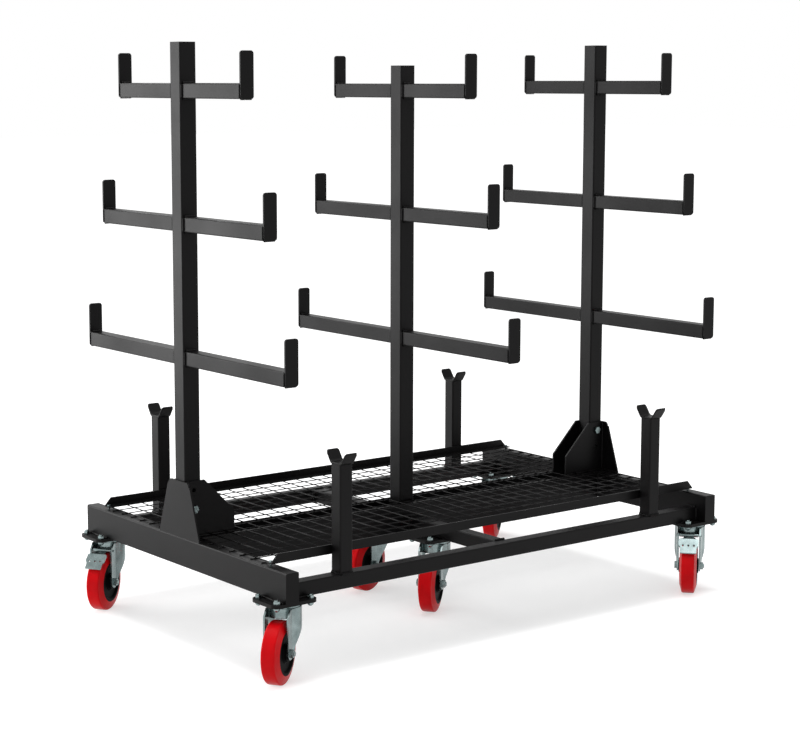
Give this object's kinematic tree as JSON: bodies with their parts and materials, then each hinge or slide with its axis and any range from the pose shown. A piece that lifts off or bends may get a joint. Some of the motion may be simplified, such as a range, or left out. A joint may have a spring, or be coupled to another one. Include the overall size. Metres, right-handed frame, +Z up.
{
  "type": "pipe rack trolley",
  "caption": "Wheeled steel base with wire mesh deck, stacking posts, hinged end trees and a lift-out middle tree whose arms carry pipes on both sides.",
  "frame": {"origin": "on the floor under the middle of the base", "axes": "+X along the base toward the tree with the higher pivot, +Y toward the rear side, +Z up"},
  "size_m": [1.6634, 1.038, 1.612],
  "materials": {
    "black_powder_coat": "satin black powder coat",
    "black_wire": "satin black powder coat on welded wire",
    "zinc_steel": "bright zinc plate on pressed sheet",
    "zinc_bolts": "zinc plated fasteners",
    "red_polyurethane": "smooth red polyurethane tread",
    "hub_plastic": "black moulded nylon"
  },
  "bodies": {
    "base": {"left_end_beam": "black_powder_coat", "right_end_beam": "black_powder_coat", "beam_end_caps": "black_powder_coat", "front_side_rail": "black_powder_coat", "rear_side_rail": "black_powder_coat", "front_spine_channel": "black_powder_coat", "rear_spine_channel": "black_powder_coat", "cross_members": "black_powder_coat", "front_left_post": "black_powder_coat", "front_right_post": "black_powder_coat", "rear_left_post": "black_powder_coat", "rear_right_post": "black_powder_coat", "stacking_cups": "black_powder_coat", "left_tree_bracket": "black_powder_coat", "right_tree_bracket": "black_powder_coat", "centre_socket": "black_powder_coat", "front_deck_angle": "black_powder_coat", "rear_deck_angle": "black_powder_coat", "front_deck_mesh": "black_wire", "rear_deck_mesh": "black_wire", "deck_bolts": "zinc_bolts", "castor_mount_plates": "black_powder_coat", "castor_top_plates": "black_powder_coat", "castor_bolts": "zinc_bolts", "pivot_bolts": "zinc_bolts"},
    "left_tree": {"left_tree_upright": "black_powder_coat", "left_tree_arms": "black_powder_coat", "left_tree_stops": "black_powder_coat"},
    "centre_tree": {"centre_tree_upright": "black_powder_coat", "centre_tree_arms": "black_powder_coat", "centre_tree_stops": "black_powder_coat"},
    "right_tree": {"right_tree_upright": "black_powder_coat", "right_tree_arms": "black_powder_coat", "right_tree_stops": "black_powder_coat"},
    "rear_left_swivel": {"rear_left_castor_fork": "zinc_steel", "rear_left_castor_axle": "zinc_bolts"},
    "rear_left_wheel": {"rear_left_castor_hub": "hub_plastic", "rear_left_castor_tyre": "red_polyurethane"},
    "front_left_swivel": {"front_left_castor_fork": "zinc_steel", "front_left_castor_axle": "zinc_bolts"},
    "front_left_wheel": {"front_left_castor_hub": "hub_plastic", "front_left_castor_tyre": "red_polyurethane"},
    "middle_rear_swivel": {"middle_rear_castor_fork": "zinc_steel", "middle_rear_castor_axle": "zinc_bolts"},
    "middle_rear_wheel": {"middle_rear_castor_hub": "hub_plastic", "middle_rear_castor_tyre": "red_polyurethane"},
    "middle_front_swivel": {"middle_front_castor_fork": "zinc_steel", "middle_front_castor_axle": "zinc_bolts"},
    "middle_front_wheel": {"middle_front_castor_hub": "hub_plastic", "middle_front_castor_tyre": "red_polyurethane"},
    "rear_right_swivel": {"rear_right_castor_fork": "zinc_steel", "rear_right_castor_axle": "zinc_bolts"},
    "rear_right_wheel": {"rear_right_castor_hub": "hub_plastic", "rear_right_castor_tyre": "red_polyurethane"},
    "front_right_swivel": {"front_right_castor_fork": "zinc_steel", "front_right_castor_axle": "zinc_bolts"},
    "front_right_wheel": {"front_right_castor_hub": "hub_plastic", "front_right_castor_tyre": "red_polyurethane"},
    "rear_left_pedal": {"rear_left_brake_pedal": "zinc_steel"},
    "front_right_pedal": {"front_right_brake_pedal": "zinc_steel"}
  },
  "joints": [
    {"name": "rear_left_swivel_turn", "type": "hinge", "parent": "base", "child": "rear_left_swivel", "pos_m": [-0.7395, 0.439, 0.189], "axis": [0, 0, 1], "continuous": true},
    {"name": "rear_left_wheel_roll", "type": "hinge", "parent": "rear_left_swivel", "child": "rear_left_wheel", "pos_m": [-0.77833, 0.41079, 0.082], "axis": [0.5878, -0.809, 0], "continuous": true},
    {"name": "front_left_swivel_turn", "type": "hinge", "parent": "base", "child": "front_left_swivel", "pos_m": [-0.7395, -0.439, 0.189], "axis": [0, 0, 1], "continuous": true},
    {"name": "front_left_wheel_roll", "type": "hinge", "parent": "front_left_swivel", "child": "front_left_wheel", "pos_m": [-0.77882, -0.46653, 0.082], "axis": [0.5736, -0.8192, 0], "continuous": true},
    {"name": "middle_rear_swivel_turn", "type": "hinge", "parent": "base", "child": "middle_rear_swivel", "pos_m": [0, 0.143, 0.189], "axis": [0, 0, 1], "continuous": true},
    {"name": "middle_rear_wheel_roll", "type": "hinge", "parent": "middle_rear_swivel", "child": "middle_rear_wheel", "pos_m": [-0.04538, 0.12737, 0.082], "axis": [0.3256, -0.9455, 0], "continuous": true},
    {"name": "middle_front_swivel_turn", "type": "hinge", "parent": "base", "child": "middle_front_swivel", "pos_m": [0, -0.143, 0.189], "axis": [0, 0, 1], "continuous": true},
    {"name": "middle_front_wheel_roll", "type": "hinge", "parent": "middle_front_swivel", "child": "middle_front_wheel", "pos_m": [-0.03833, -0.17189, 0.082], "axis": [0.6018, -0.7986, 0], "continuous": true},
    {"name": "rear_right_swivel_turn", "type": "hinge", "parent": "base", "child": "rear_right_swivel", "pos_m": [0.7395, 0.439, 0.189], "axis": [0, 0, 1], "continuous": true},
    {"name": "rear_right_wheel_roll", "type": "hinge", "parent": "rear_right_swivel", "child": "rear_right_wheel", "pos_m": [0.7022, 0.40879, 0.082], "axis": [0.6293, -0.7771, 0], "continuous": true},
    {"name": "front_right_swivel_turn", "type": "hinge", "parent": "base", "child": "front_right_swivel", "pos_m": [0.7395, -0.439, 0.189], "axis": [0, 0, 1], "continuous": true},
    {"name": "front_right_wheel_roll", "type": "hinge", "parent": "front_right_swivel", "child": "front_right_wheel", "pos_m": [0.70327, -0.47049, 0.082], "axis": [0.6561, -0.7547, 0], "continuous": true},
    {"name": "rear_left_brake_press", "type": "hinge", "parent": "rear_left_swivel", "child": "rear_left_pedal", "pos_m": [-0.78319, 0.40726, 0.174], "axis": [0.5878, -0.809, 0], "range_deg": [0, 4]},
    {"name": "front_right_brake_press", "type": "hinge", "parent": "front_right_swivel", "child": "front_right_pedal", "pos_m": [0.69875, -0.47443, 0.174], "axis": [0.6561, -0.7547, 0], "range_deg": [0, 4]},
    {"name": "left_tree_fold", "type": "hinge", "parent": "base", "child": "left_tree", "pos_m": [-0.747, 0, 0.368], "axis": [0, 1, 0], "range_deg": [0, 33]},
    {"name": "right_tree_fold", "type": "hinge", "parent": "base", "child": "right_tree", "pos_m": [0.747, 0, 0.42], "axis": [0, -1, 0], "range_deg": [0, 33]},
    {"name": "centre_tree_lift", "type": "slide", "parent": "base", "child": "centre_tree", "axis": [0, 0, 1], "range_m": [0, 0.07]}
  ]
}
